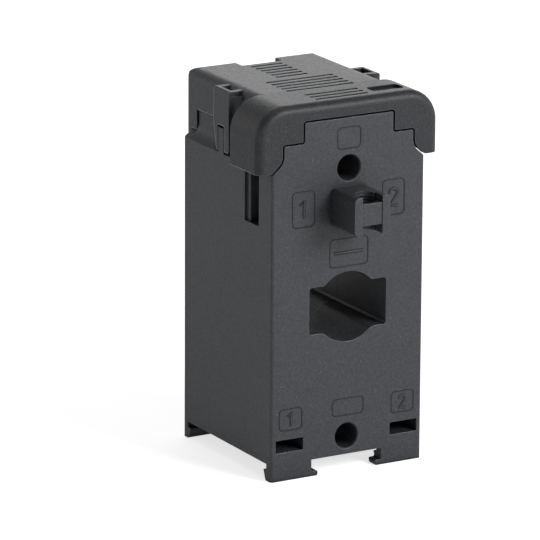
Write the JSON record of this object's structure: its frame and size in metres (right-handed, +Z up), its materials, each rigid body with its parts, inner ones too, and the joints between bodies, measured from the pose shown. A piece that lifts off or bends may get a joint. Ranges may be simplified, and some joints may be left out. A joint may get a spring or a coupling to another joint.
{
  "type": "current transformer",
  "caption": "Moulded-case current transformer with a bar-and-cable window, screw terminals under a snap cover, a clamping-screw holder and slotted feet.",
  "frame": {"origin": "middle of the base of the whole object's bounding box, on the plane of the feet", "axes": "+X across the width, +Y from the front face to the back, +Z up; the window runs along Y"},
  "size_m": [0.0532, 0.0622, 0.0989],
  "materials": {
    "case_plastic": "fine-grained moulded, matte",
    "cover_plastic": "fine-grained moulded, matte",
    "core_steel": "strip edges, satin",
    "cap_plastic": "moulded, matte",
    "coil_copper": "enamelled copper wire, glossy",
    "coil_tape": "polyester tape, satin",
    "pad_foam": "closed-cell foam, matte",
    "block_plastic": "moulded, matte",
    "contact_metal": "nickel-plated brass, satin",
    "cage_steel": "zinc-plated steel, satin",
    "screw_steel": "zinc-plated steel, satin"
  },
  "bodies": {
    "case": {"front_housing": "case_plastic", "rear_plate": "case_plastic", "wound_core": "core_steel", "core_cap_front": "cap_plastic", "core_cap_rear": "cap_plastic", "coil_top": "coil_copper", "coil_bottom": "coil_copper", "coil_tape_top": "coil_tape", "coil_tape_bottom": "coil_tape", "coil_link": "coil_copper", "core_pad_front": "pad_foam", "core_pad_rear": "pad_foam", "terminal_block_left": "block_plastic", "terminal_block_right": "block_plastic", "contact_bar_left": "contact_metal", "contact_bar_right": "contact_metal", "lead_left": "coil_copper", "lead_right": "coil_copper"},
    "cover": {"terminal_cover": "cover_plastic"},
    "cage_left": {"clamp_cage_left": "cage_steel"},
    "cage_right": {"clamp_cage_right": "cage_steel"},
    "screw_left": {"clamp_screw_left": "screw_steel"},
    "screw_right": {"clamp_screw_right": "screw_steel"}
  },
  "joints": [
    {"name": "cover_lift", "type": "slide", "parent": "case", "child": "cover", "axis": [0, 0, 1], "range_m": [0, 0.02]},
    {"name": "cage_rise_left", "type": "slide", "parent": "case", "child": "cage_left", "axis": [0, 0, 1], "range_m": [0, 0.0028]},
    {"name": "screw_turn_left", "type": "hinge", "parent": "case", "child": "screw_left", "pos_m": [-0.0146, -0.0096, 0.0826], "axis": [0, 0, 1], "range_deg": [-1450, 0]},
    {"name": "cage_rise_right", "type": "slide", "parent": "case", "child": "cage_right", "axis": [0, 0, 1], "range_m": [0, 0.0028]},
    {"name": "screw_turn_right", "type": "hinge", "parent": "case", "child": "screw_right", "pos_m": [0.0146, -0.0096, 0.0826], "axis": [0, 0, 1], "range_deg": [-1450, 0]}
  ],
  "couplings": [
    {"joint": "screw_turn_left", "follows": "cage_rise_left", "rad_per_m": -8976},
    {"joint": "screw_turn_right", "follows": "cage_rise_right", "rad_per_m": -8976}
  ]
}
